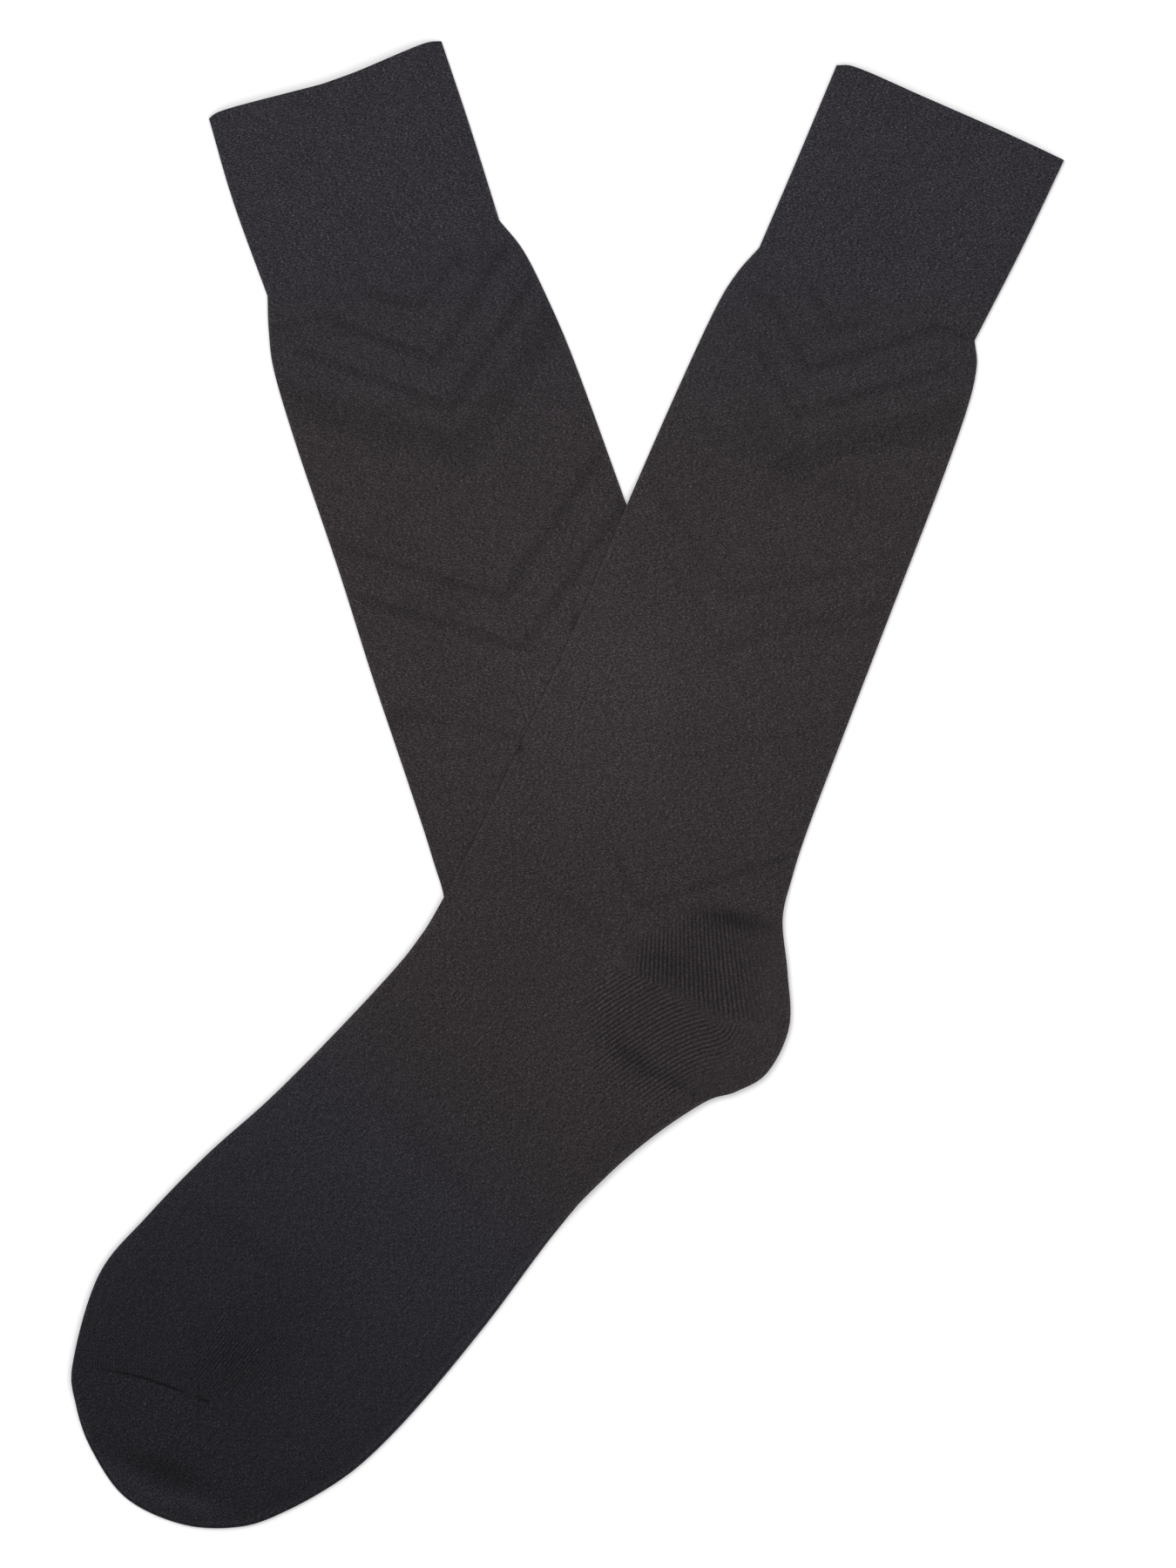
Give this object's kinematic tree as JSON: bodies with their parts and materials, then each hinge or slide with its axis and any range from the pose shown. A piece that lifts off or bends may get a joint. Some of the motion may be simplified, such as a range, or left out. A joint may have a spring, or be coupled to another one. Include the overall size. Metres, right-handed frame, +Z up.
{
  "type": "pair of socks",
  "caption": "Pair of plain dark knitted mid-calf dress socks with turned cuffs, laid flat in a V, one foot on the other.",
  "frame": {"origin": "bottom centre of the pair's bounding box, on the surface that it lies on", "axes": "+Y from the toes towards the cuffs, +Z up from the surface, +X towards the upper sock's cuff"},
  "size_m": [0.3015, 0.4521, 0.0059],
  "materials": {
    "cuff_knit": "matt fine rib knit",
    "leg_knit": "matt fine flat knit",
    "heel_knit": "matt flat knit, wales showing",
    "foot_knit": "matt fine flat knit",
    "toe_knit": "matt flat knit"
  },
  "bodies": {
    "root": {"lower_cuff": "cuff_knit", "lower_leg": "leg_knit", "lower_heel": "heel_knit", "lower_foot": "foot_knit", "lower_toe": "toe_knit", "upper_cuff": "cuff_knit", "upper_leg": "leg_knit", "upper_heel": "heel_knit", "upper_foot": "foot_knit", "upper_toe": "toe_knit"}
  },
  "joints": []
}
